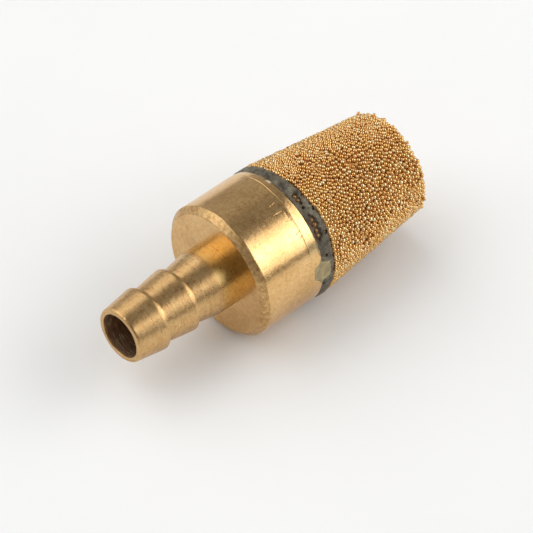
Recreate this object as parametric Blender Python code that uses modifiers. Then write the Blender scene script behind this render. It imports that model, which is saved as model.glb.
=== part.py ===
"""Pneumatic exhaust muffler with a barbed hose tail, lying on its side.

Three pieces come apart on a bench: a turned brass body with a hose tail at one end and a cup at the other, a tapered
thimble of sintered bronze beads whose spigot sits in the cup, and the ring of adhesive that holds the thimble there.
Air comes in through the tail, fills the thimble's blind bore and leaves through its porous wall. Nothing moves.

Every piece is turned about one axis. A station is a distance along that axis from the tip of the hose tail.
The axis lies along +X, the sintered end towards +X, and the origin is on the ground below the middle of the muffler.
"""

import math

import bpy

# Driving dimensions, in metres. Stations first, along the axis from the tip of the hose tail.
RIDGE_STATIONS = (0.0036, 0.0075, 0.0108)
FACE_STATION = 0.0130
CRIMP_STATION = 0.0196
RIM_STATION = 0.0210
SHOULDER_STATION = 0.0225
TOTAL_LENGTH = 0.0370

# Hose tail, for a hose of 6 mm bore.
TAIL_BORE_RADIUS = 0.0025
TAIL_TIP_RADIUS = 0.0031
TAIL_TIP_ROUND = 0.0003
TAIL_BORE_CHAMFER = 0.0001
RIDGE_RADIUS = 0.00355
RIDGE_LAND = 0.0001
ROOT_RADIUS = 0.00308
ROOT_STEP = 0.0003
NECK_FILLET = 0.00015

# Body and cup.
BODY_RADIUS = 0.0075
BODY_CHAMFER = 0.00065
CRIMP_DROP = 0.00008
RIM_ROUND = 0.0003
CUP_RADIUS = 0.0065
CUP_FLOOR_STATION = 0.0155
CUP_MOUTH_CHAMFER = 0.0003

# Sintered element.
SHOULDER_RADIUS = 0.00755
END_RADIUS = 0.00585
END_ROUND = 0.0007
SPIGOT_RADIUS = 0.0058
SPIGOT_END_STATION = 0.0168
SPIGOT_CHAMFER = 0.0003
CHAMBER_MOUTH_RADIUS = 0.0038
CHAMBER_END_RADIUS = 0.0034
CHAMBER_END_ROUND = 0.0010
END_WALL = 0.0030

# Adhesive.
FIT_GAP = 0.0002
ADHESIVE_DEPTH = 0.0032

STEPS = 64
ARC_STEPS = 4
SHARP_ANGLE = math.radians(28)
MERGE_DISTANCE = 0.000001

# Colour, roughness and metallic value of each piece.
TURNED_BRASS = ((0.56, 0.38, 0.16, 1.0), 0.28, 1.0)
SINTERED_BRONZE = ((0.60, 0.33, 0.10, 1.0), 0.45, 1.0)
DARK_ADHESIVE = ((0.12, 0.125, 0.09, 1.0), 0.6, 0.0)


def clear_scene():
    for item in list(bpy.data.objects):
        bpy.data.objects.remove(item)


def make_material(name, look):
    colour, roughness, metallic = look
    material = bpy.data.materials.new(name)
    material.use_nodes = True
    shader = material.node_tree.nodes["Principled BSDF"]
    shader.inputs["Base Color"].default_value = colour
    shader.inputs["Roughness"].default_value = roughness
    shader.inputs["Metallic"].default_value = metallic
    return material


def arc(centre, radius, start_degrees, end_degrees):
    """Points (radius, station) along an arc. 0 degrees points outwards and 90 degrees along the axis."""
    points = []
    for step in range(ARC_STEPS + 1):
        angle = math.radians(start_degrees + (end_degrees - start_degrees) * step / ARC_STEPS)
        across = centre[0] + radius * math.cos(angle)
        along = centre[1] + radius * math.sin(angle)
        points.append((across, along))
    return points


def tail_side():
    """Outer side of the hose tail, from the face of the body down to the tip: three cones that end in ridges."""
    first, second, third = RIDGE_STATIONS
    points = arc((RIDGE_RADIUS + NECK_FILLET, FACE_STATION - NECK_FILLET), NECK_FILLET, 90, 180)
    points.append((RIDGE_RADIUS, third))
    for ridge in (second, first):
        points.append((ROOT_RADIUS, ridge + ROOT_STEP))
        points.append((RIDGE_RADIUS - RIDGE_LAND / 2, ridge + RIDGE_LAND / 2))
        points.append((RIDGE_RADIUS, ridge))
    tip_round_centre = (TAIL_TIP_RADIUS - TAIL_TIP_ROUND, TAIL_TIP_ROUND)
    points += arc(tip_round_centre, TAIL_TIP_ROUND, 0, -90)
    return points


def barbed_body_profile():
    """The whole outline of the brass body, down its outer side from the rim of the cup and back up through the bore."""
    rim_radius = BODY_RADIUS - CRIMP_DROP
    outer = arc((rim_radius - RIM_ROUND, RIM_STATION - RIM_ROUND), RIM_ROUND, 90, 0)
    outer.append((rim_radius, CRIMP_STATION + CRIMP_DROP))
    outer.append((BODY_RADIUS, CRIMP_STATION))
    outer.append((BODY_RADIUS, FACE_STATION + BODY_CHAMFER))
    outer.append((BODY_RADIUS - BODY_CHAMFER, FACE_STATION))
    inner = [
        (TAIL_BORE_RADIUS + TAIL_BORE_CHAMFER, 0.0),
        (TAIL_BORE_RADIUS, TAIL_BORE_CHAMFER),
        (TAIL_BORE_RADIUS, CUP_FLOOR_STATION),
        (CUP_RADIUS, CUP_FLOOR_STATION),
        (CUP_RADIUS, RIM_STATION - CUP_MOUTH_CHAMFER),
        (CUP_RADIUS + CUP_MOUTH_CHAMFER, RIM_STATION),
    ]
    return outer + tail_side() + inner


def sintered_element_profile():
    """A thimble: closed tapered end, shoulder against the adhesive, spigot inside the cup, blind bore from below."""
    taper = math.degrees(math.atan2(SHOULDER_RADIUS - END_RADIUS, TOTAL_LENGTH - SHOULDER_STATION))
    outer = [(0.0, TOTAL_LENGTH)]
    outer += arc((END_RADIUS - END_ROUND, TOTAL_LENGTH - END_ROUND), END_ROUND, 90, taper)
    outer += [
        (SHOULDER_RADIUS, SHOULDER_STATION),
        (SPIGOT_RADIUS, SHOULDER_STATION),
        (SPIGOT_RADIUS, SPIGOT_END_STATION + SPIGOT_CHAMFER),
        (SPIGOT_RADIUS - SPIGOT_CHAMFER, SPIGOT_END_STATION),
    ]
    chamber_end = TOTAL_LENGTH - END_WALL
    corner = (CHAMBER_END_RADIUS - CHAMBER_END_ROUND, chamber_end - CHAMBER_END_ROUND)
    bore = [(CHAMBER_MOUTH_RADIUS, SPIGOT_END_STATION)]
    bore += arc(corner, CHAMBER_END_ROUND, 0, 90)
    bore.append((0.0, chamber_end))
    return outer + bore


def adhesive_ring_profile():
    """A collar that fills the groove between rim and shoulder, with a sleeve that runs down beside the spigot."""
    collar_top = SHOULDER_STATION - FIT_GAP
    collar_foot = RIM_STATION + FIT_GAP
    collar_radius = SHOULDER_RADIUS - CRIMP_DROP / 2
    sleeve_radius = CUP_RADIUS - FIT_GAP
    bore_radius = SPIGOT_RADIUS + FIT_GAP
    return [
        (bore_radius, collar_top),
        (collar_radius, collar_top),
        (collar_radius, collar_foot),
        (sleeve_radius, collar_foot),
        (sleeve_radius, RIM_STATION - ADHESIVE_DEPTH),
        (bore_radius, RIM_STATION - ADHESIVE_DEPTH),
    ]


def turned_piece(name, profile, is_ring, material, collection, axis):
    """Turns an outline of (radius, station) points about the axis. A ring's outline closes on itself."""
    vertices = [(radius, 0.0, station) for radius, station in profile]
    edges = [(index, index + 1) for index in range(len(profile) - 1)]
    if is_ring:
        edges.append((len(profile) - 1, 0))
    mesh = bpy.data.meshes.new(name)
    mesh.from_pydata(vertices, edges, [])
    piece = bpy.data.objects.new(name, mesh)
    collection.objects.link(piece)
    piece.parent = axis
    screw = piece.modifiers.new("turn", "SCREW")
    screw.steps = STEPS
    screw.render_steps = STEPS
    screw.use_merge_vertices = True
    screw.merge_threshold = MERGE_DISTANCE
    shade_turned(piece)
    mesh = piece.data
    mesh.materials.append(material)
    return piece


def shade_turned(piece):
    """Keeps the turned mesh and shades it smooth, with a crease wherever the profile has a corner."""
    evaluated = piece.evaluated_get(bpy.context.evaluated_depsgraph_get())
    profile_mesh = piece.data
    mesh = bpy.data.meshes.new_from_object(evaluated)
    piece.modifiers.clear()
    piece.data = mesh
    bpy.data.meshes.remove(profile_mesh)
    mesh.name = piece.name
    mesh.shade_smooth()
    mesh.set_sharp_from_angle(angle=SHARP_ANGLE)


def make_axis(collection):
    """An empty whose +Z is the muffler's axis, laid along +X at the height where the widest circle meets the ground."""
    axis = bpy.data.objects.new("muffler_axis", None)
    axis.location = (-TOTAL_LENGTH / 2, 0.0, SHOULDER_RADIUS)
    axis.rotation_euler = (0.0, math.radians(90), 0.0)
    collection.objects.link(axis)
    return axis


def main():
    clear_scene()
    collection = bpy.data.collections.new("pneumatic_muffler")
    bpy.context.scene.collection.children.link(collection)
    axis = make_axis(collection)
    brass = make_material("turned_brass", TURNED_BRASS)
    bronze = make_material("sintered_bronze", SINTERED_BRONZE)
    adhesive = make_material("dark_adhesive", DARK_ADHESIVE)
    turned_piece("barbed_body", barbed_body_profile(), True, brass, collection, axis)
    turned_piece("sintered_element", sintered_element_profile(), False, bronze, collection, axis)
    turned_piece("adhesive_ring", adhesive_ring_profile(), True, adhesive, collection, axis)


main()
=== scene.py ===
"""Looks of the pneumatic muffler: a turned brass body with a barbed hose tail, a tapered element of sintered bronze
beads, and the dark ring of adhesive between them, on a pale floor under soft studio light.

The muffler lies on its side along X. A station is a distance along its axis from the tip of the hose tail. An angle
is measured round the axis from straight up, positive towards -Y, the side of the camera.
"""
import math

import bpy
import numpy as np
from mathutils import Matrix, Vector, kdtree


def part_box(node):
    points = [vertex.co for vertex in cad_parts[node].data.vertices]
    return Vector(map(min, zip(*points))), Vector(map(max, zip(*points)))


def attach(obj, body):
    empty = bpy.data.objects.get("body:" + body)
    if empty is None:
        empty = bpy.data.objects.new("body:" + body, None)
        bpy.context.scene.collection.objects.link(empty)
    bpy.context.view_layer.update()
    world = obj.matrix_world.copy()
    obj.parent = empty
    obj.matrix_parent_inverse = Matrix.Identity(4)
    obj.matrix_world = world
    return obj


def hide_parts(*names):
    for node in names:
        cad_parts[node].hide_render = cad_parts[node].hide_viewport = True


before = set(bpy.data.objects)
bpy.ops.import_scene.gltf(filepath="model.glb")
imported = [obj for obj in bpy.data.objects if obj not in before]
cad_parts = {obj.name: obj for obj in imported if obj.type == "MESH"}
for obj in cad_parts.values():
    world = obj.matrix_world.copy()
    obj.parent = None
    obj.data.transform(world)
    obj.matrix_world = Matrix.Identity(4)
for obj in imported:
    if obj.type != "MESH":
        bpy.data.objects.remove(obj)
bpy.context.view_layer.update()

MM = 0.001
BODY_LOW, BODY_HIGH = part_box("barbed_body")
RING_LOW, RING_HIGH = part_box("adhesive_ring")
ELEMENT_LOW, ELEMENT_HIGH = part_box("sintered_element")

# The frame's own sizes.
TIP_X = BODY_LOW.x
AXIS_Z = (BODY_LOW.z + BODY_HIGH.z) / 2
BODY_RADIUS = (BODY_HIGH.z - BODY_LOW.z) / 2
RIM = BODY_HIGH.x - TIP_X
LENGTH = ELEMENT_HIGH.x - TIP_X
SHOULDER_RADIUS = (ELEMENT_HIGH.z - ELEMENT_LOW.z) / 2
SHOULDER = RING_HIGH.x - TIP_X + 0.2 * MM

# Hose tail and body, repeated from the CAD source.
RIDGES = (3.6 * MM, 7.5 * MM, 10.8 * MM)
FACE = 13.0 * MM
CRIMP = 19.6 * MM
TAIL_BORE = 2.5 * MM
TIP_RADIUS = 3.1 * MM
RIDGE_RADIUS = 3.55 * MM
ROOT_RADIUS = 3.08 * MM
CHAMFER = 0.65 * MM
RIM_DROP = 0.08 * MM
CUP_RADIUS = 6.5 * MM
CUP_FLOOR = 15.5 * MM
SLEEVE_RADIUS = 6.6 * MM

# Sintered element.
END_RADIUS = 5.85 * MM
END_LEVEL = LENGTH - 0.17 * MM
CORNER = 0.7 * MM
BEAD_RADIUS = 0.232 * MM
BEAD_SPREAD = 0.028 * MM
# Bonded beads have grown together by this share of the distance between them.
BEAD_BOND = 0.975
FIRST_BEADS = SHOULDER - 0.45 * MM
SPIGOT_START = 16.8 * MM
SPIGOT_RADIUS = 5.8 * MM
# The blind bore from its mouth to its end, as station and radius.
BLIND_BORE = ((SPIGOT_START, 3.8 * MM), (33.0 * MM, 3.4 * MM), (34.0 * MM, 2.4 * MM), (34.0 * MM, 0.3 * MM))
# Beads that show in bubbles of the adhesive, each with its angle in degrees and its station.
PIT_BEADS = ((18.0, 21.62 * MM), (22.1, 21.66 * MM), (41.0, 21.64 * MM), (45.6, 21.68 * MM), (50.3, 21.56 * MM),
             (54.6, 21.50 * MM), (140.0, 21.70 * MM), (143.5, 21.62 * MM), (231.0, 21.75 * MM))

# A thin film of adhesive left on the brass: angle and station.
FILM_SPOT = (61.0, 20.2 * MM)
# Scratches on the body: angle and station of both ends, and the width.
SCRATCHES = ((14.7, 18.5, 13.7, 19.4, 0.030), (22.3, 18.2, 22.9, 19.5, 0.045), (22.9, 19.5, 30.4, 19.46, 0.040),
             (44.3, 19.0, 42.6, 19.9, 0.035), (48.4, 19.1, 46.8, 20.0, 0.040), (31.0, 18.8, 32.3, 19.7, 0.030),
             (70.1, 19.5, 70.3, 18.8, 0.040), (150.0, 15.0, 163.0, 18.2, 0.030), (262.0, 17.0, 255.0, 19.0, 0.030))
# A bright fleck beside the rim, painted in as a glint: angle and station.
PAINTED_GLINT_SPOT = (-6.0, 20.8 * MM)
# The smear of adhesive on the brass: angle, and how far it reaches there as a share of SMEAR_REACH.
SMEAR = ((72.0, 0), (75.5, 0.16), (76.8, 0.42), (79.0, 0.92), (86.0, 1.0), (89.0, 1.08), (90.5, 0.78), (95.0, 0.34),
         (100.0, 0))
SMEAR_REACH = 1.15 * MM

# Steps round the axis, and along the adhesive.
BODY_STEPS = 288
RING_STEPS = 900
CORE_STEPS = 96
ACROSS_STEPS = 60
AXIS_PLACE = Vector((TIP_X, 0.0, AXIS_Z))


# ---------------------------------------------------------------- mesh helpers

def mesh_piece(name, points, faces, sizes, material, smooth_angle=None):
    """A mesh whose object origin is on the axis at the tip. faces is a flat list of corners, and sizes says how many
    each face has."""
    mesh = bpy.data.meshes.new(name)
    mesh.vertices.add(len(points))
    mesh.vertices.foreach_set("co", np.asarray(points, np.float32).ravel())
    mesh.loops.add(len(faces))
    mesh.loops.foreach_set("vertex_index", np.asarray(faces, np.int32))
    mesh.polygons.add(len(sizes))
    starts = np.concatenate(([0], np.cumsum(sizes)[:-1])).astype(np.int32)
    mesh.polygons.foreach_set("loop_start", starts)
    mesh.polygons.foreach_set("use_smooth", np.ones(len(sizes), bool))
    mesh.update(calc_edges=True)
    mesh.validate()
    if smooth_angle is not None:
        mesh.set_sharp_from_angle(angle=math.radians(smooth_angle))
    mesh.materials.append(material)
    piece = bpy.data.objects.new(name, mesh)
    piece.location = AXIS_PLACE
    bpy.context.scene.collection.objects.link(piece)
    return piece


def round_place(station, radius, angle):
    """Points in the axis frame from station, radius and angle."""
    return np.stack((station, -radius * np.sin(angle), radius * np.cos(angle)), axis=-1)


def turned_grid(stations, radii, steps):
    """Points, corners and sizes of a closed outline turned once round. stations and radii are (outline, steps)."""
    count = stations.shape[0]
    angle = np.linspace(0, 2 * math.pi, steps, endpoint=False)
    points = round_place(stations, radii, np.broadcast_to(angle, stations.shape)).reshape(-1, 3)
    row, column = np.meshgrid(np.arange(count), np.arange(steps), indexing="ij")
    next_row, next_column = (row + 1) % count, (column + 1) % steps
    corners = np.stack((row * steps + column, next_row * steps + column,
                        next_row * steps + next_column, row * steps + next_column), axis=-1)
    return points, corners.reshape(-1), np.full(count * steps, 4, np.int32)


def turned_outline(outline, steps):
    """Stations and radii of an outline, repeated for every step round the axis."""
    outline = np.array(outline)
    return [np.repeat(outline[:, part:part + 1], steps, axis=1) for part in (0, 1)]


def arc(centre_station, centre_radius, radius, start, end, count=6):
    """Outline points on an arc. 0 degrees points outwards and 90 degrees along the axis."""
    angles = np.radians(np.linspace(start, end, count))
    return [(centre_station + radius * math.sin(a), centre_radius + radius * math.cos(a)) for a in angles]


def refined(outline, spacing, hidden_spacing):
    """The closed outline of the body with its straight stretches cut into steps, longer where they don't show."""
    result = []
    for (x0, r0), (x1, r1) in zip(outline, outline[1:] + outline[:1]):
        on_body = max(r0, r1) > CUP_RADIUS * 1.05
        on_tail = x0 < FACE * 1.01 and min(r0, r1) > TAIL_BORE * 1.02
        step = spacing if on_body or on_tail else hidden_spacing
        count = max(1, math.ceil(math.hypot(x1 - x0, r1 - r0) / step))
        result += [(x0 + (x1 - x0) * k / count, r0 + (r1 - r0) * k / count) for k in range(count)]
    return result


def wobble(angle, seed, first, last, fall=1.0):
    """A smooth random curve round the axis, between about -1 and 1, from waves of the given orders."""
    random = np.random.default_rng(seed)
    total, weight = np.zeros_like(angle), 0.0
    for order in range(first, last + 1):
        share = order ** -fall
        total += share * np.cos(order * angle + random.uniform(0, 2 * math.pi))
        weight += share ** 2
    return total / (1.6 * math.sqrt(weight))


def bump_near(angle, centre_degrees, width_degrees):
    """1 at one angle, falling to 0 round it."""
    away = np.abs((np.degrees(angle) - centre_degrees + 180) % 360 - 180)
    return np.exp(-0.5 * (away / width_degrees) ** 2)


# ---------------------------------------------------------------- node helpers

def new_material(name):
    material = bpy.data.materials.new(name)
    material.use_nodes = True
    tree = material.node_tree
    return material, tree, tree.nodes["Principled BSDF"]


def node(tree, kind, **settings):
    made = tree.nodes.new(kind)
    for key, value in settings.items():
        if key in made.inputs:
            made.inputs[key].default_value = value
        else:
            setattr(made, key, value)
    return made


def math_node(tree, operation, first, second=None):
    made = tree.nodes.new("ShaderNodeMath")
    made.operation = operation
    for socket, value in zip(made.inputs, (first, second)):
        if value is None:
            continue
        if isinstance(value, (int, float)):
            socket.default_value = value
        else:
            tree.links.new(value, socket)
    return made.outputs[0]


def times(tree, first, second):
    return math_node(tree, "MULTIPLY", first, second)


def plus(tree, first, second):
    return math_node(tree, "ADD", first, second)


def minus(tree, first, second):
    return math_node(tree, "SUBTRACT", first, second)


def ramp(tree, factor, stops):
    """A colour or grey ramp. stops are (place, colour)."""
    made = tree.nodes.new("ShaderNodeValToRGB")
    tree.links.new(factor, made.inputs["Fac"])
    while len(made.color_ramp.elements) < len(stops):
        made.color_ramp.elements.new(0.5)
    for element, (place, colour) in zip(made.color_ramp.elements, stops):
        element.position = place
        element.color = (*colour, 1.0) if isinstance(colour, tuple) else (colour, colour, colour, 1.0)
    return made.outputs["Color"]


def mix_colours(tree, factor, first, second, blend="MIX"):
    made = tree.nodes.new("ShaderNodeMix")
    made.data_type = "RGBA"
    made.blend_type = blend
    for socket, value in ((made.inputs[0], factor), (made.inputs[6], first), (made.inputs[7], second)):
        if isinstance(value, (int, float)):
            socket.default_value = value
        elif isinstance(value, tuple):
            socket.default_value = (*value, 1.0)
        else:
            tree.links.new(value, socket)
    return made.outputs[2]


def tinted(tree, colour, tint):
    return mix_colours(tree, 1.0, colour, tint, "MULTIPLY")


def turned_coordinates(tree):
    """Station, radius and angle of the shaded point, from the piece's own coordinates."""
    place = node(tree, "ShaderNodeTexCoord").outputs["Object"]
    split = tree.nodes.new("ShaderNodeSeparateXYZ")
    tree.links.new(place, split.inputs[0])
    x, y, z = split.outputs
    radius = math_node(tree, "SQRT", plus(tree, times(tree, y, y), times(tree, z, z)))
    angle = math_node(tree, "ARCTAN2", y, z)
    return place, x, radius, angle


def noise_of(tree, vector, scale, detail=2.0, roughness=0.5):
    made = node(tree, "ShaderNodeTexNoise", Scale=scale, Detail=detail, Roughness=roughness)
    tree.links.new(vector, made.inputs["Vector"])
    return made.outputs["Fac"]


def step_between(tree, value, low, high):
    """A smooth step from 0 where the value is low to 1 where it is high. low may be the larger number."""
    made = node(tree, "ShaderNodeMapRange", interpolation_type="SMOOTHSTEP")
    first, last, start, end = (low, high, 0.0, 1.0) if low < high else (high, low, 1.0, 0.0)
    made.inputs["From Min"].default_value = first
    made.inputs["From Max"].default_value = last
    made.inputs["To Min"].default_value = start
    made.inputs["To Max"].default_value = end
    tree.links.new(value, made.inputs["Value"])
    return made.outputs["Result"]


def combined(tree, x, y, z):
    made = tree.nodes.new("ShaderNodeCombineXYZ")
    for socket, value in zip(made.inputs, (x, y, z)):
        if isinstance(value, (int, float)):
            socket.default_value = value
        else:
            tree.links.new(value, socket)
    return made.outputs[0]


def away_from(tree, value, centre):
    """Distance of the value from a centre."""
    return math_node(tree, "ABSOLUTE", minus(tree, value, centre))


def add_bump(tree, shader, layers):
    """Chained bumps. layers are (height socket, distance in metres, strength)."""
    normal = None
    for height, distance, strength in layers:
        made = node(tree, "ShaderNodeBump", Distance=distance, Strength=strength)
        tree.links.new(height, made.inputs["Height"])
        if normal is not None:
            tree.links.new(normal, made.inputs["Normal"])
        normal = made.outputs["Normal"]
    tree.links.new(normal, shader.inputs["Normal"])


# ---------------------------------------------------------------- materials

def brass_material():
    """Turned brass. The tail, the face and the chamfer are satin with lines round the axis, and the body was drawn
    along the axis and then handled: fine streaks, soft stains, specks and a few long scratches. The neck of the tail
    carries a painted reflection, brighter and yellower, and a pale fleck beside the rim is a painted glint."""
    material, tree, shader = new_material("turned_brass_look")
    shader.inputs["Metallic"].default_value = 1.0
    place, x, radius, angle = turned_coordinates(tree)
    split = tree.nodes.new("ShaderNodeSeparateXYZ")
    tree.links.new(place, split.inputs[0])
    along_lines = combined(tree, times(tree, x, 0.07), split.outputs["Y"], split.outputs["Z"])
    round_lines = combined(tree, x, radius, times(tree, angle, 0.0002))
    helix = combined(tree, plus(tree, x, times(tree, angle, 0.00012)), 0.0, times(tree, angle, 0.0004))

    tail = step_between(tree, x, FACE - 0.02 * MM, FACE - 0.05 * MM)
    bore = times(tree, step_between(tree, radius, TAIL_BORE + 0.12 * MM, TAIL_BORE + 0.04 * MM),
                 step_between(tree, x, 0.05 * MM, 0.25 * MM))
    chamfer = times(tree, step_between(tree, radius, BODY_RADIUS - CHAMFER - 0.03 * MM, BODY_RADIUS - CHAMFER),
                    step_between(tree, x, FACE + CHAMFER + 0.02 * MM, FACE + CHAMFER - 0.02 * MM))
    crimped = step_between(tree, x, CRIMP - 0.1 * MM, CRIMP + 0.2 * MM)

    stains = noise_of(tree, place, 330.0, 4.0, 0.6)
    mottle = noise_of(tree, place, 2400.0, 4.0, 0.65)
    grain = noise_of(tree, place, 9000.0, 2.0, 0.6)
    turning = noise_of(tree, round_lines, 9000.0, 3.0, 0.65)
    drawing = noise_of(tree, along_lines, 7000.0, 3.0, 0.6)
    spiral = noise_of(tree, helix, 5200.0, 2.0, 0.5)

    tone = ramp(tree, stains, ((0.32, (0.68, 0.43, 0.185)), (0.52, (0.77, 0.505, 0.225)),
                               (0.72, (0.80, 0.545, 0.260))))
    stained = ramp(tree, mottle, ((0.32, (0.78, 0.62, 0.48)), (0.50, (0.98, 0.93, 0.87)), (0.66, (1.08, 1.09, 1.12))))
    tone = mix_colours(tree, 0.60, tone, stained, "MULTIPLY")
    flecked = ramp(tree, grain, ((0.30, (0.74, 0.68, 0.62)), (0.50, (1.0, 0.99, 0.98)), (0.68, (1.12, 1.12, 1.14))))
    tone = mix_colours(tree, 0.6, tone, flecked, "MULTIPLY")
    lined = ramp(tree, turning, ((0.34, (0.72, 0.69, 0.66)), (0.66, (1.0, 1.0, 1.0))))
    tone = mix_colours(tree, times(tree, tail, 0.7), tone, tinted(tree, tone, lined))
    tone = mix_colours(tree, times(tree, tail, 0.9), tone, tinted(tree, tone, (0.89, 0.89, 0.90)))
    # Painted reflection: the neck of the tail between the last ridge and the face is made brighter and yellower,
    # standing in for the face mirrored in it.
    painted_neck_reflection = times(tree, tail, step_between(tree, x, RIDGES[2] + 0.1 * MM, RIDGES[2] + 0.5 * MM))
    tone = mix_colours(tree, painted_neck_reflection, tone, tinted(tree, tone, (1.08, 1.22, 1.12)))
    rough_turned = ramp(tree, mottle, ((0.34, (0.50, 0.46, 0.42)), (0.52, (0.68, 0.66, 0.63)),
                                       (0.68, (0.92, 0.92, 0.92))))
    tone = mix_colours(tree, times(tree, chamfer, 0.8), tone, tinted(tree, tone, rough_turned))
    film = times(tree, step_between(tree, away_from(tree, x, FILM_SPOT[1]), 0.55 * MM, 0.25 * MM),
                 step_between(tree, away_from(tree, angle, -math.radians(FILM_SPOT[0])), 0.11, 0.06))
    film = times(tree, film, ramp(tree, mottle, ((0.42, 0.25), (0.56, 0.9))))
    tone = mix_colours(tree, times(tree, film, 0.7), tone, (0.50, 0.45, 0.25))
    specks = ramp(tree, noise_of(tree, place, 4300.0, 1.0, 0.4), ((0.755, 0.0), (0.80, 1.0)))
    tone = mix_colours(tree, times(tree, specks, 0.55), tone, (0.24, 0.13, 0.06))
    tone = mix_colours(tree, bore, tone, ramp(tree, spiral, ((0.35, (0.42, 0.26, 0.16)), (0.60, (0.62, 0.44, 0.28)),
                                                             (0.66, (1.0, 0.9, 0.7)))))
    scratches = times(tree, scratch_marks(tree, x, angle), ramp(tree, mottle, ((0.38, 0.2), (0.50, 1.0))))
    tone = mix_colours(tree, times(tree, scratches, 0.55), tone, tinted(tree, tone, (0.80, 0.60, 0.42)))
    # Painted glint: a small pale fleck beside the rim, which is also made rougher.
    painted_glint = times(tree, step_between(tree, away_from(tree, x, PAINTED_GLINT_SPOT[1]), 0.17 * MM, 0.07 * MM),
                    step_between(tree, away_from(tree, angle, -math.radians(PAINTED_GLINT_SPOT[0])), 0.060, 0.030))
    painted_glint = times(tree, painted_glint, ramp(tree, mottle, ((0.40, 0.2), (0.52, 1.0))))
    tone = mix_colours(tree, times(tree, painted_glint, 0.7), tone, (0.95, 0.86, 0.70))
    tree.links.new(tone, shader.inputs["Base Color"])

    rough = plus(tree, times(tree, mottle, 0.16), 0.13)
    for mask, rougher in ((painted_glint, 0.35), (tail, 0.08), (chamfer, 0.16), (bore, 0.15)):
        rough = plus(tree, rough, times(tree, mask, rougher))
    tree.links.new(rough, shader.inputs["Roughness"])

    satin = math_node(tree, "MAXIMUM", tail, chamfer)
    lines = mix_colours(tree, step_between(tree, x, FACE + 0.35 * MM, FACE + 0.6 * MM), turning, drawing)
    on_tail = plus(tree, times(tree, satin, 0.6), 0.4)
    add_bump(tree, shader, ((times(tree, lines, on_tail), 0.0000060, 1.0),
                            (times(tree, grain, on_tail), 0.0000065, 1.0),
                            (times(tree, mottle, on_tail), 0.000016, 1.0),
                            (times(tree, turning, satin), 0.0000070, 1.0),
                            (times(tree, stains, crimped), 0.00004, 0.5),
                            (scratches, -0.000012, 1.0),
                            (times(tree, spiral, bore), 0.00003, 1.0)))
    return material


def scratch_marks(tree, x, angle):
    """1 along the scratches of the body, 0 elsewhere."""
    total = 0.0
    for turn_0, station_0, turn_1, station_1, width in SCRATCHES:
        along, around = (station_1 - station_0) * MM, -math.radians(turn_1 - turn_0) * BODY_RADIUS
        length = math.hypot(along, around)
        from_x = minus(tree, x, station_0 * MM)
        turned = plus(tree, times(tree, angle, BODY_RADIUS), math.radians(turn_0) * BODY_RADIUS)
        reach = plus(tree, times(tree, from_x, along / length), times(tree, turned, around / length))
        off = minus(tree, times(tree, from_x, around / length), times(tree, turned, along / length))
        inside = step_between(tree, away_from(tree, reach, length / 2), length / 2, length / 2 - 0.1 * MM)
        line = times(tree, inside, step_between(tree, away_from(tree, off, 0.0), width * 1.6 * MM, width * 0.4 * MM))
        total = math_node(tree, "MAXIMUM", total, line)
    return total


def adhesive_material():
    """Cured filled epoxy: matte grey-green with lighter and darker patches, thin and brassy where it runs on to the
    brass, and painted brown-black shade where it lies deep, in its bubbles and hollows."""
    material, tree, shader = new_material("dark_adhesive_look")
    place, x, radius, angle = turned_coordinates(tree)
    patches = noise_of(tree, place, 1100.0, 4.0, 0.65)
    grain = noise_of(tree, place, 7000.0, 3.0, 0.6)
    tone = ramp(tree, patches, ((0.32, (0.036, 0.027, 0.017)), (0.46, (0.102, 0.083, 0.053)),
                                (0.58, (0.148, 0.127, 0.084)), (0.70, (0.265, 0.235, 0.16))))
    tone = mix_colours(tree, 0.4, tone, ramp(tree, grain, ((0.3, 0.55), (0.7, 1.0))), "MULTIPLY")
    # Painted shade: the adhesive turns brown-black where it lies deep below the brass, in the bubbles and hollows.
    deep = step_between(tree, radius, BODY_RADIUS - 0.08 * MM, BODY_RADIUS - 0.2 * MM)
    tone = mix_colours(tree, times(tree, deep, 0.9), tone, (0.085, 0.040, 0.020))
    smeared = step_between(tree, away_from(tree, angle, -math.radians(86.0)), 0.19, 0.11)
    thin = step_between(tree, minus(tree, x, times(tree, smeared, 1.0 * MM)), RIM - 0.02 * MM, RIM - 0.3 * MM)
    film = ramp(tree, patches, ((0.36, (0.26, 0.20, 0.095)), (0.60, (0.42, 0.335, 0.165))))
    tone = mix_colours(tree, thin, tone, film)
    tree.links.new(tone, shader.inputs["Base Color"])
    tree.links.new(plus(tree, times(tree, grain, 0.25), 0.38), shader.inputs["Roughness"])
    shader.inputs["Specular IOR Level"].default_value = 0.35
    add_bump(tree, shader, ((grain, 0.000015, 0.6), (patches, 0.00006, 0.6)))
    return material


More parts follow.
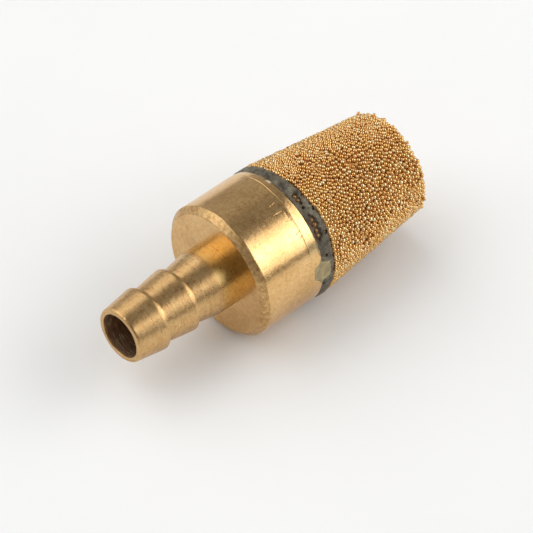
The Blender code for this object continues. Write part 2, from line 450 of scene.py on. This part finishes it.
def bead_material(name, bright, tarnish=0.0, satin=0.0):
    """Bronze beads with bright tops, which are a painted highlight, and redder feet, partly tarnish in the hollows
    and partly painted bounce light. bead_tone is a random number for each bead, and bead_depth is 0 on its top and 1
    at its foot. bright scales the whole colour: below 1 it is painted shade for beads sunk in the adhesive."""
    material, tree, shader = new_material(name)
    shader.inputs["Metallic"].default_value = 1.0
    tone = node(tree, "ShaderNodeAttribute", attribute_name="bead_tone").outputs["Fac"]
    depth = node(tree, "ShaderNodeAttribute", attribute_name="bead_depth").outputs["Fac"]
    top = ramp(tree, tone, ((0.0, (0.55, 0.325, 0.12)), (0.3, (0.66, 0.41, 0.16)), (0.8, (0.74, 0.505, 0.22)),
                            (1.0, (0.79, 0.70, 0.44))))
    top = tinted(tree, top, (bright, bright, bright))
    # Painted highlight: the top of each bead is made lighter than the rest of it.
    painted_highlight_tops = ramp(tree, depth, ((0.10, (1.26, 1.32, 1.26)), (0.36, (0.97, 0.92, 0.84))))
    top = tinted(tree, top, painted_highlight_tops)
    top = mix_colours(tree, tarnish, top, (0.30, 0.14, 0.06))
    # The feet turn redder and, in red, brighter than the tops: partly tarnish in the hollows between beads, partly
    # painted bounce light that fills them.
    colour = mix_colours(tree, ramp(tree, depth, ((0.36, 0.0), (0.88, 0.95))), top,
                         (0.88 * bright, 0.50 * bright, 0.175 * bright))
    tree.links.new(colour, shader.inputs["Base Color"])
    rough = plus(tree, times(tree, times(tree, tone, tone), 0.14), 0.10 + satin)
    rough = plus(tree, rough, times(tree, ramp(tree, depth, ((0.4, 0.0), (0.9, 1.0))), 0.35))
    tree.links.new(rough, shader.inputs["Roughness"])
    return material


def core_material():
    """Bonded bronze below the beads that show: dark in its pores."""
    material, tree, shader = new_material("sintered_core_look")
    shader.inputs["Metallic"].default_value = 1.0
    place = node(tree, "ShaderNodeTexCoord").outputs["Object"]
    cells = node(tree, "ShaderNodeTexVoronoi", Scale=2700.0)
    tree.links.new(place, cells.inputs["Vector"])
    tree.links.new(ramp(tree, cells.outputs["Distance"], ((0.1, (0.80, 0.46, 0.18)), (0.7, (0.60, 0.30, 0.10)))),
                   shader.inputs["Base Color"])
    shader.inputs["Roughness"].default_value = 0.6
    add_bump(tree, shader, ((cells.outputs["Distance"], -0.0001, 0.8),))
    return material


def floor_material():
    material, tree, shader = new_material("pale_floor_look")
    place = node(tree, "ShaderNodeTexCoord").outputs["Object"]
    cloth = noise_of(tree, place, 30.0, 3.0, 0.5)
    tree.links.new(ramp(tree, cloth, ((0.3, (0.86, 0.86, 0.85)), (0.7, (0.88, 0.88, 0.87)))),
                   shader.inputs["Base Color"])
    shader.inputs["Roughness"].default_value = 0.7
    return material


# ---------------------------------------------------------------- brass body

def body_outline():
    """Outer side from the rim of the cup down to the tip of the tail, then the bore and the cup from inside."""
    rim_radius = BODY_RADIUS - RIM_DROP
    points = arc(RIM - 0.2 * MM, rim_radius - 0.2 * MM, 0.2 * MM, 90, 0)
    points += [(CRIMP + 0.08 * MM, BODY_RADIUS - 0.014 * MM), (CRIMP + 0.05 * MM, BODY_RADIUS - 0.030 * MM),
               (CRIMP + 0.02 * MM, BODY_RADIUS - 0.030 * MM), (CRIMP - 0.02 * MM, BODY_RADIUS)]
    edge = 0.025 * MM
    points += [(FACE + CHAMFER + edge, BODY_RADIUS), (FACE + CHAMFER - edge * 0.7, BODY_RADIUS - edge * 0.7)]
    points += [(FACE + edge * 0.7, BODY_RADIUS - CHAMFER + edge * 0.7), (FACE, BODY_RADIUS - CHAMFER - edge)]
    points.append((FACE, RIDGE_RADIUS))
    points.append((RIDGES[2] + 0.06 * MM, RIDGE_RADIUS))
    points += arc(RIDGES[2] - 0.04 * MM, RIDGE_RADIUS - 0.21 * MM, 0.2 * MM, 14, -8, 4)
    for ridge in (RIDGES[1], RIDGES[0]):
        points.append((ridge + 0.40 * MM, ROOT_RADIUS + 0.005 * MM))
        points.append((ridge + 0.30 * MM, ROOT_RADIUS + 0.03 * MM))
        points += arc(ridge + 0.03 * MM, RIDGE_RADIUS - 0.06 * MM, 0.06 * MM, 66, 0, 5)
        points += [(ridge - 0.17 * MM, RIDGE_RADIUS), (ridge - 0.21 * MM, RIDGE_RADIUS - 0.005 * MM)]
    tip_round = 0.24 * MM
    points += arc(tip_round, TIP_RADIUS - tip_round, tip_round, -8, -90)
    lip = 0.07 * MM
    points += arc(lip, TAIL_BORE + lip, -lip, 90, 0)
    mouth = 0.3 * MM
    points += [(CUP_FLOOR, TAIL_BORE), (CUP_FLOOR, CUP_RADIUS), (RIM - mouth, CUP_RADIUS), (RIM, CUP_RADIUS + mouth)]
    return points


def brass_body(material):
    """The turned body, with a bent rim, a burr, a crimp line that leans round it, a worn tip and nicks."""
    stations, radii = turned_outline(refined(body_outline(), 0.13 * MM, 0.6 * MM), BODY_STEPS)
    angle = np.linspace(0, 2 * math.pi, BODY_STEPS, endpoint=False)[None, :]
    outer = radii > BODY_RADIUS * 0.9
    near_rim = np.clip((stations - CRIMP) / (RIM - CRIMP), 0, 1) ** 2 * outer
    radii += near_rim * 0.022 * MM * wobble(angle, 5, 2, 12, 0.6)
    stations += near_rim * 0.05 * MM * wobble(angle, 6, 2, 12, 0.6)
    burr = near_rim * bump_near(angle, -6, 1.3)
    radii, stations = radii + 0.06 * MM * burr, stations + 0.10 * MM * burr
    near_crimp = np.exp(-((stations - CRIMP) / (0.9 * MM)) ** 2) * outer
    near_crimp = near_crimp * np.clip((RIM - stations) / (0.5 * MM), 0, 1)
    stations += near_crimp * MM * (0.45 * np.cos(angle + math.radians(30)) + 0.05 * wobble(angle, 8, 3, 24, 0.5))
    lip = np.clip(1 - stations / (0.3 * MM), 0, 1)
    radii += lip * 0.02 * MM * wobble(angle, 7, 2, 24, 0.3)
    radii, stations = dent(stations, radii, angle)
    points, corners, sizes = turned_grid(stations, radii, BODY_STEPS)
    piece = mesh_piece("brass_body", points, corners, sizes, material, 30)
    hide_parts("barbed_body")
    return piece


def dent(stations, radii, angle):
    """Small nicks where such a part gets knocked: on the ridges, the chamfer and the edge of the bore."""
    random = np.random.default_rng(11)
    for _ in range(26):
        station = random.choice((0.02, 0.1, RIDGES[0] / MM, RIDGES[1] / MM, 13.05, 13.65, 13.7)) * MM
        width = random.uniform(0.08, 0.2) * MM
        depth = random.uniform(0.01, 0.035) * MM
        centre = random.uniform(0, 2 * math.pi)
        around = (angle - centre + math.pi) % (2 * math.pi) - math.pi
        far = ((stations - station) / width) ** 2 + (radii * around / width) ** 2
        radii = radii - depth * np.exp(-far) * (radii > TAIL_BORE * 1.05)
    return radii, stations


# ---------------------------------------------------------------- sintered element

class Envelope:
    """The element's outer surface: a taper, a round corner and a flat end. It moves points to a depth below it."""

    def __init__(self):
        self.slope = math.atan2(SHOULDER_RADIUS - END_RADIUS, LENGTH - SHOULDER)
        self.side_normal = np.array((math.sin(self.slope), math.cos(self.slope)))
        self.side_along = np.array((math.cos(self.slope), -math.sin(self.slope)))
        start = np.array((SHOULDER, SHOULDER_RADIUS)) - CORNER * self.side_normal
        reach = (END_LEVEL - CORNER - start[0]) / self.side_along[0]
        self.corner = start + reach * self.side_along

    def normals(self, points):
        """For each point its outward normal as station part and radius part, its height above the skeleton of the
        shape, and whether it's on the side."""
        flat = np.stack((points[:, 0], np.hypot(points[:, 1], points[:, 2])), axis=-1)
        away = flat - self.corner
        along_side = away @ self.side_along
        on_side = along_side < 0
        on_end = (away[:, 1] < 0) & ~on_side
        length = np.maximum(np.linalg.norm(away, axis=1), 1e-9)
        normal = away / length[:, None]
        height = length
        normal = np.where(on_side[:, None], self.side_normal, normal)
        height = np.where(on_side, away @ self.side_normal, height)
        normal = np.where(on_end[:, None], np.array((1.0, 0.0)), normal)
        height = np.where(on_end, away[:, 0], height)
        return normal, height, on_side

    def place(self, points, depth):
        """Moves each point along its normal to the depth below the surface."""
        normal, height, _ = self.normals(points)
        shift = (CORNER - depth) - height
        radius = np.maximum(np.hypot(points[:, 1], points[:, 2]), 1e-9)
        moved = points.copy()
        moved[:, 0] += shift * normal[:, 0]
        scale = (radius + shift * normal[:, 1]) / radius
        moved[:, 1] *= scale
        moved[:, 2] *= scale
        return moved

    def depths(self, points):
        return CORNER - self.normals(points)[1]

    def outward(self, points):
        """Unit outward vectors in three dimensions."""
        normal, _, _ = self.normals(points)
        radius = np.maximum(np.hypot(points[:, 1], points[:, 2]), 1e-9)
        return np.stack((normal[:, 0], normal[:, 1] * points[:, 1] / radius, normal[:, 1] * points[:, 2] / radius),
                        axis=-1)


def scattered(depth, share, random):
    """Random points over the surface at one depth, as many as beads cover the given share of it."""
    side_area = math.pi * (SHOULDER_RADIUS + END_RADIUS) * (END_LEVEL - FIRST_BEADS)
    end_area = math.pi * END_RADIUS ** 2
    shrink = (SHOULDER_RADIUS - depth) / SHOULDER_RADIUS
    cover = share / (math.pi * BEAD_RADIUS ** 2)
    side_count, end_count = int(side_area * cover * shrink), int(end_area * cover * shrink ** 2)
    stations = FIRST_BEADS + (END_LEVEL - FIRST_BEADS) * random.random(side_count) ** 1.06
    side = round_place(stations, np.full(side_count, END_RADIUS + 1 * MM), random.random(side_count) * 2 * math.pi)
    radii = END_RADIUS * 0.97 * np.sqrt(random.random(end_count))
    end = round_place(np.full(end_count, END_LEVEL), radii, random.random(end_count) * 2 * math.pi)
    return np.concatenate((side, end))


def close_pairs(points, reach, fixed=None):
    """Index pairs nearer than reach, between points, or from points to the fixed ones."""
    others = points if fixed is None else fixed
    tree = kdtree.KDTree(len(others))
    for index, point in enumerate(others.tolist()):
        tree.insert(point, index)
    tree.balance()
    first, second = [], []
    for index, point in enumerate(points.tolist()):
        for _, other, _ in tree.find_range(point, reach):
            if fixed is not None or other > index:
                first.append(index)
                second.append(other)
    return np.array(first, int), np.array(second, int)


def push_apart(points, radii, pairs, others, other_radii, both):
    """Moves overlapping beads apart along the line between them."""
    first, second = pairs
    gap = points[first] - others[second]
    distance = np.maximum(np.linalg.norm(gap, axis=1), 1e-9)
    wanted = (radii[first] + other_radii[second]) * BEAD_BOND
    overlap = np.maximum(wanted - distance, 0) * (0.45 if both else 0.8)
    move = gap / distance[:, None] * overlap[:, None]
    np.add.at(points, first, move)
    if both:
        np.add.at(points, second, -move)


def adhesive_edge(angle):
    """Station where the adhesive ends and the beads begin: it wavers, and leans towards the tail on one side."""
    lean = 0.28 * MM * bump_near(angle, 42, 20) - 0.42 * MM * bump_near(angle, -28, 26)
    return SHOULDER + lean + 0.10 * MM * wobble(angle, 32, 2, 60, 0.35)


def packed_layer(envelope, low_depth, high_depth, share, seed, above=None, rounds=60):
    """Beads settled between two depths, clear of each other and of the layer above."""
    random = np.random.default_rng(seed)
    points = scattered(low_depth, share, random)
    smallest, largest = BEAD_RADIUS * 0.78, BEAD_RADIUS * 1.22
    radii = np.clip(random.normal(BEAD_RADIUS, BEAD_SPREAD, len(points)), smallest, largest)
    wanted_depth = radii + low_depth + (high_depth - low_depth) * random.random(len(points)) ** 2
    # No bead stands before the edge of the adhesive, and those in front of the shoulder sink a little.
    first_station = adhesive_edge(np.arctan2(-points[:, 1], points[:, 2])) + BEAD_RADIUS * 0.8
    points = envelope.place(points, wanted_depth)
    for turn in range(rounds):
        if turn % 4 == 0:
            pairs = close_pairs(points, BEAD_RADIUS * 2.6)
            if above is not None:
                above_pairs = close_pairs(points, BEAD_RADIUS * 2.6, above[0])
        push_apart(points, radii, pairs, points, radii, True)
        if above is not None:
            push_apart(points, radii, above_pairs, above[0], above[1], False)
            wanted_depth = np.clip(envelope.depths(points), radii + low_depth, radii + high_depth)
        points[:, 0] = np.maximum(points[:, 0], first_station)
        before_shoulder = np.maximum(SHOULDER + 0.1 * MM - points[:, 0], 0)
        points = envelope.place(points, wanted_depth + 0.13 * before_shoulder)
    return points, radii


def dome_template(segments, rings, last_degrees):
    """A closed dome round +X: points on the unit sphere down to an angle past its widest, and a flat foot."""
    points, depth = [(1.0, 0.0, 0.0)], [0.0]
    for ring in range(1, rings + 1):
        polar = math.radians(last_degrees) * ring / rings
        for step in range(segments):
            turn = 2 * math.pi * (step + 0.5 * (ring % 2)) / segments
            points.append((math.cos(polar), math.sin(polar) * math.cos(turn), math.sin(polar) * math.sin(turn)))
            depth.append(min(1.0, polar / (math.pi / 2)))
    faces = [(0, 1 + k, 1 + (k + 1) % segments) for k in range(segments)]
    for ring in range(rings - 1):
        base, below = 1 + ring * segments, 1 + (ring + 1) * segments
        shift = ring % 2
        for k in range(segments):
            after = (k + 1) % segments
            if shift == 0:
                faces += [(base + k, below + k, base + after), (base + after, below + k, below + after)]
            else:
                faces += [(base + k, below + k, below + after), (base + k, below + after, base + after)]
    foot = 1 + (rings - 1) * segments
    points.append((math.cos(math.radians(last_degrees)), 0.0, 0.0))
    depth.append(1.0)
    faces += [(foot + (k + 1) % segments, foot + k, len(points) - 1) for k in range(segments)]
    return np.array(points), np.array(faces), np.array(depth)


def bead_piece(name, centres, radii, outward, template, material, random):
    """One mesh of many beads, each turned so that its dome points outwards."""
    shape, faces, depth = template
    spin = random.random(len(centres)) * 2 * math.pi
    helper = np.where(np.abs(outward[:, :1]) < 0.8, np.array((1.0, 0.0, 0.0)), np.array((0.0, 1.0, 0.0)))
    side = np.cross(outward, helper)
    side /= np.linalg.norm(side, axis=1)[:, None]
    third = np.cross(outward, side)
    turned_side = np.cos(spin)[:, None] * side + np.sin(spin)[:, None] * third
    turned_third = np.cross(outward, turned_side)
    local = shape * radii[:, None, None]
    points = (centres[:, None] + local[..., :1] * outward[:, None] + local[..., 1:2] * turned_side[:, None]
              + local[..., 2:] * turned_third[:, None])
    corners = (faces[None] + (np.arange(len(centres)) * len(shape))[:, None, None]).reshape(-1)
    sizes = np.full(len(centres) * len(faces), 3, np.int32)
    piece = mesh_piece(name, points.reshape(-1, 3), corners, sizes, material)
    tone = np.repeat(random.random(len(centres)), len(shape))
    write_attribute(piece, "bead_tone", tone)
    write_attribute(piece, "bead_depth", np.tile(depth, len(centres)))
    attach(piece, "root")
    return piece


def write_attribute(piece, name, values):
    attribute = piece.data.attributes.new(name, "FLOAT", "POINT")
    attribute.data.foreach_set("value", values.astype(np.float32))


def sintered_beads():
    """The outer layer, smooth on the side and rough on the end, the beads in its gaps, and those in the adhesive."""
    envelope = Envelope()
    random = np.random.default_rng(21)
    points, radii = packed_layer(envelope, 0.0, 0.09 * MM, 0.79, 1, rounds=44)
    stations = points[:, 0]
    far = np.clip((stations - 30 * MM) / (END_LEVEL - 30 * MM), 0, 1)
    _, _, on_side = envelope.normals(points)
    missing = np.where(on_side, 0.003 + 0.015 * far, 0.03)
    kept = random.random(len(points)) > missing
    points, radii, far, on_side = points[kept], radii[kept], far[kept], on_side[kept]
    # The side was pressed flat by the mould and the end was not: some of its beads stand proud.
    sunk = (0.05 + 0.10 * far) * MM * random.random(len(points)) ** 2
    proud = random.random(len(points)) < 0.09
    rise = np.where(proud, 0.16, np.clip(random.normal(-0.03, 0.07, len(points)), -0.2, 0.1)) * MM
    lift = np.where(on_side, -sunk, rise)
    points = envelope.place(points, envelope.depths(points) - lift)
    inner_points, inner_radii = packed_layer(envelope, 0.14 * MM, 0.34 * MM, 0.88, 2, (points, radii), 28)

    outer_look = bead_material("sintered_bead_look", 1.0)
    inner_look = bead_material("sintered_bead_inner_look", 1.0, satin=0.34)
    outer_dome, inner_dome = dome_template(12, 6, 118), dome_template(9, 4, 112)
    _, _, on_side = envelope.normals(points)
    groups = np.array_split(np.flatnonzero(on_side)[np.argsort(points[on_side][:, 0])], 3)
    for number, chosen in enumerate(groups, 1):
        bead_piece(f"sintered_beads_side_{number}", points[chosen], radii[chosen], envelope.outward(points[chosen]),
                   outer_dome, outer_look, random)
    chosen = np.flatnonzero(~on_side)
    bead_piece("sintered_beads_end", points[chosen], radii[chosen], envelope.outward(points[chosen]), outer_dome,
               outer_look, random)
    for number, chosen in enumerate(np.array_split(np.argsort(inner_points[:, 0]), 2), 1):
        bead_piece(f"sintered_beads_inner_{number}", inner_points[chosen], inner_radii[chosen],
                   envelope.outward(inner_points[chosen]), inner_dome, inner_look, random)

    angles, stations = np.radians([angle for angle, _ in PIT_BEADS]), np.array([station for _, station in PIT_BEADS])
    centres = round_place(stations, np.full(len(stations), BODY_RADIUS - 0.10 * MM - BEAD_RADIUS), angles)
    outward = round_place(np.zeros(len(stations)), np.ones(len(stations)), angles)
    pit_radii = BEAD_RADIUS * random.uniform(0.9, 1.25, len(stations))
    # The beads in the bubbles get a darker copy of the bead look: painted shade for their place deep in the adhesive,
    # together with a browner tarnish.
    bead_piece("beads_in_adhesive", centres, pit_radii, outward, outer_dome,
               bead_material("tarnished_shaded_bead_look", 0.6, 0.6, 0.35), random)
    return envelope


def element_core(envelope, material):
    """The thimble under the beads: a taper, a closed end, the spigot in the cup and the blind bore."""
    # The core stays this far below the surface, so that it shows only as the dark of the pores.
    skin = 0.42 * MM
    side = np.array((SHOULDER, SHOULDER_RADIUS)) - skin * envelope.side_normal
    reach = (END_LEVEL - skin - 0.4 * MM - side[0]) / envelope.side_along[0]
    far = side + reach * envelope.side_along
    outline = [(END_LEVEL - skin, 0.3 * MM), (END_LEVEL - skin, far[1] - 0.4 * MM), tuple(far), tuple(side),
               (RIM + 0.1 * MM, side[1]), (RIM + 0.1 * MM, SPIGOT_RADIUS), (SPIGOT_START, SPIGOT_RADIUS), *BLIND_BORE]
    points, corners, sizes = turned_grid(*turned_outline(outline, CORE_STEPS), CORE_STEPS)
    piece = mesh_piece("sintered_core", points, corners, sizes, material, 30)
    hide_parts("sintered_element")
    return piece


# ---------------------------------------------------------------- adhesive

def brass_rim(stations):
    """Radius of the brass behind the crimp line, with its round edge."""
    rim_radius, rim_round = BODY_RADIUS - RIM_DROP, 0.2 * MM
    straight = np.interp(stations, (CRIMP, CRIMP + 0.2 * MM, RIM - rim_round),
                         (BODY_RADIUS, BODY_RADIUS - 0.02 * MM, rim_radius))
    into_edge = np.clip(stations - RIM + rim_round, 0, rim_round)
    return straight - rim_round + np.sqrt(rim_round ** 2 - into_edge ** 2)


def adhesive_ring(material):
    """An uneven band from the brass rim to the first beads, with open bubbles and one smear on the brass."""
    steps = RING_STEPS
    angle = np.linspace(0, 2 * math.pi, steps, endpoint=False)
    smear = np.interp(np.degrees(angle), *zip(*SMEAR))
    smear = smear * (1.0 + 0.10 * wobble(angle, 34, 30, 300, 0.1))
    start = RIM - 0.10 * MM + 0.07 * MM * wobble(angle, 31, 2, 50, 0.5) - SMEAR_REACH * smear
    start = start - 0.20 * MM * bump_near(angle, 64, 5) - 0.12 * MM * bump_near(angle, -30, 9)
    end = adhesive_edge(angle)
    share = np.linspace(0, 1, ACROSS_STEPS)[:, None]
    stations = start + (end - start) * share
    level_stations = (RIM - 0.15 * MM, RIM + 0.1 * MM, RIM + 0.4 * MM, SHOULDER - 0.3 * MM, SHOULDER + 0.05 * MM)
    level_depths = np.array((0.12, 0.07, 0.0, 0.02, 0.10)) * MM
    level = np.interp(stations, level_stations, BODY_RADIUS - level_depths)
    level = np.where(end - stations < 0.25 * MM, level - 0.10 * MM * (1 - (end - stations) / (0.25 * MM)), level)
    film = brass_rim(stations) + 0.02 * MM * np.clip(share * 20, 0, 1) - 0.004 * MM
    radii = np.maximum(level + 0.020 * MM * surface_noise(stations, angle[None, :], 41), film)
    radii = radii - bubbles(stations, angle[None, :])
    radii = np.minimum(radii, SHOULDER_RADIUS - 0.005 * MM)
    inner = [(end, radii[-1] - 0.25 * MM), (np.full(steps, SHOULDER), np.full(steps, SLEEVE_RADIUS)),
             (np.full(steps, RIM + 0.05 * MM), np.full(steps, SLEEVE_RADIUS)),
             (np.full(steps, RIM + 0.02 * MM), np.full(steps, 7.0 * MM)), (start, radii[0] - 0.04 * MM)]
    all_stations, all_radii = (np.concatenate((shown, np.array([row[part] for row in inner])))
                               for part, shown in enumerate((stations, radii)))
    points, corners, sizes = turned_grid(all_stations, all_radii, steps)
    piece = mesh_piece("adhesive_band", points, corners[::-1].copy(), sizes, material)
    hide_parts("adhesive_ring")
    return piece


def surface_noise(stations, angle, seed):
    """Lumps over the band: waves that cross each other at random."""
    random = np.random.default_rng(seed)
    total = np.zeros(np.broadcast(stations, angle).shape)
    for _ in range(40):
        order = random.integers(4, 90)
        pitch = random.uniform(0.5, 4.0) * MM
        total += np.cos(order * angle + 2 * math.pi * stations / pitch + random.uniform(0, 2 * math.pi))
    return total / math.sqrt(20)


def bubbles(stations, angle):
    """Open bubbles round the beads that show in the adhesive, voids next to the first beads, and a few elsewhere."""
    random = np.random.default_rng(51)
    open_ones = [(turn, station, (0.42 if 38 < turn < 58 else 0.32) * MM, 0.24 * MM) for turn, station in PIT_BEADS]
    open_ones += [(25.4, 21.58 * MM, 0.20 * MM, 0.28 * MM), (29.4, 21.55 * MM, 0.17 * MM, 0.3 * MM),
                  (37.2, 21.60 * MM, 0.24 * MM, 0.3 * MM), (40.6, 21.38 * MM, 0.22 * MM, 0.26 * MM),
                  (43.0, 21.50 * MM, 0.28 * MM, 0.26 * MM), (48.2, 21.50 * MM, 0.28 * MM, 0.26 * MM),
                  (57.4, 21.42 * MM, 0.20 * MM, 0.3 * MM), (73.0, 21.55 * MM, 0.16 * MM, 0.2 * MM),
                  (101.0, 21.12 * MM, 0.18 * MM, 0.3 * MM)]
    open_ones += [(random.uniform(0, 360), 22.45 * MM, random.uniform(0.10, 0.24) * MM, 0.3 * MM) for _ in range(46)]
    open_ones += [(random.uniform(0, 360), random.uniform(21.4, 22.3) * MM, random.uniform(0.05, 0.12) * MM,
                   0.15 * MM) for _ in range(26)]
    depth = np.zeros(np.broadcast(stations, angle).shape)
    stations = stations + 0.05 * MM * surface_noise(stations, angle, 52)
    for turn, station, width, deep in open_ones:
        around = (angle - math.radians(turn) + math.pi) % (2 * math.pi) - math.pi
        far = np.hypot((stations - station) / width, BODY_RADIUS * around / width)
        edge = np.clip((1.15 - far) / 0.45, 0, 1)
        depth = np.maximum(depth, deep * edge * edge * (3 - 2 * edge))
    return depth


# ---------------------------------------------------------------- stage

def direction(azimuth, elevation):
    """A unit vector from the muffler. Azimuth 0 is towards -Y and 90 towards +X."""
    a, e = math.radians(azimuth), math.radians(elevation)
    return Vector((math.sin(a) * math.cos(e), -math.cos(a) * math.cos(e), math.sin(e)))


def softbox(name, azimuth, elevation, distance, width, height, radiance, glossy=True):
    """A rectangular light that looks at the muffler. radiance is how bright it shows."""
    light = bpy.data.lights.new(name, "AREA")
    light.shape = "RECTANGLE"
    light.size, light.size_y = width, height
    light.energy = radiance * math.pi * width * height
    holder = bpy.data.objects.new(name, light)
    holder.location = direction(azimuth, elevation) * distance
    holder.rotation_mode = "QUATERNION"
    holder.rotation_quaternion = direction(azimuth, elevation).to_track_quat("Z", "Y")
    holder.visible_glossy = glossy
    bpy.context.scene.collection.objects.link(holder)
    return holder


def studio_lights():
    """Two softboxes behind each other on the right, one at the back on the left, and a fill that mirrors nowhere."""
    softbox("softbox_right", 52.0, 33.6, 0.9, 1.20, 0.745, 1.75)
    softbox("softbox_right_centre", 52.0, 33.0, 0.88, 0.62, 0.36, 1.6)
    softbox("softbox_back_left", 209.0, 44.0, 0.9, 1.28, 1.06, 1.32)
    softbox("ceiling_fill", 0.0, 89.0, 1.2, 1.6, 1.6, 0.45, glossy=False)


def studio_world():
    """A dim room whose walls are lighter behind the muffler and to its left."""
    world = bpy.data.worlds.new("studio")
    bpy.context.scene.world = world
    world.use_nodes = True
    tree = world.node_tree
    view = node(tree, "ShaderNodeTexCoord").outputs["Generated"]
    split = tree.nodes.new("ShaderNodeSeparateXYZ")
    tree.links.new(view, split.inputs[0])
    side = plus(tree, times(tree, split.outputs["Y"], 0.85),
                     times(tree, split.outputs["X"], -0.5))
    glow = times(tree, step_between(tree, side, -0.5, 0.55), 0.23)
    tree.links.new(plus(tree, glow, 0.19), tree.nodes["Background"].inputs["Color"])


def pale_floor():
    size = 3.0
    mesh = bpy.data.meshes.new("pale_floor")
    mesh.from_pydata([(-size, -size, 0), (size, -size, 0), (size, size, 0), (-size, size, 0)], [], [(0, 1, 2, 3)])
    mesh.materials.append(floor_material())
    floor = bpy.data.objects.new("pale_floor", mesh)
    floor.location = (0.0, 0.0, -0.00002)
    bpy.context.scene.collection.objects.link(floor)


def camera():
    """A long lens from the hose tail's side, high on the left."""
    azimuth, elevation, distance = -42.04, 46.23, 0.8918
    aim_right, aim_up = 0.01474, 0.00701
    back = direction(azimuth, elevation)
    right = Vector((math.cos(math.radians(azimuth)), math.sin(math.radians(azimuth)), 0.0))
    up = back.cross(right)
    lens = bpy.data.cameras.new("camera")
    lens.lens = 600.0
    lens.sensor_width = 36.0
    lens.clip_start, lens.clip_end = 0.01, 20.0
    holder = bpy.data.objects.new("camera", lens)
    holder.location = AXIS_PLACE + right * aim_right + up * aim_up + back * distance
    holder.rotation_mode = "QUATERNION"
    holder.rotation_quaternion = (-back).to_track_quat("-Z", "Y")
    bpy.context.scene.collection.objects.link(holder)
    bpy.context.scene.camera = holder


def main():
    brass = brass_body(brass_material())
    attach(brass, "root")
    envelope = sintered_beads()
    core = element_core(envelope, core_material())
    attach(core, "root")
    band = adhesive_ring(adhesive_material())
    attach(band, "root")
    pale_floor()
    studio_lights()
    studio_world()
    camera()
    bpy.context.scene.view_settings.view_transform = "Standard"


main()
bpy.context.view_layer.update()
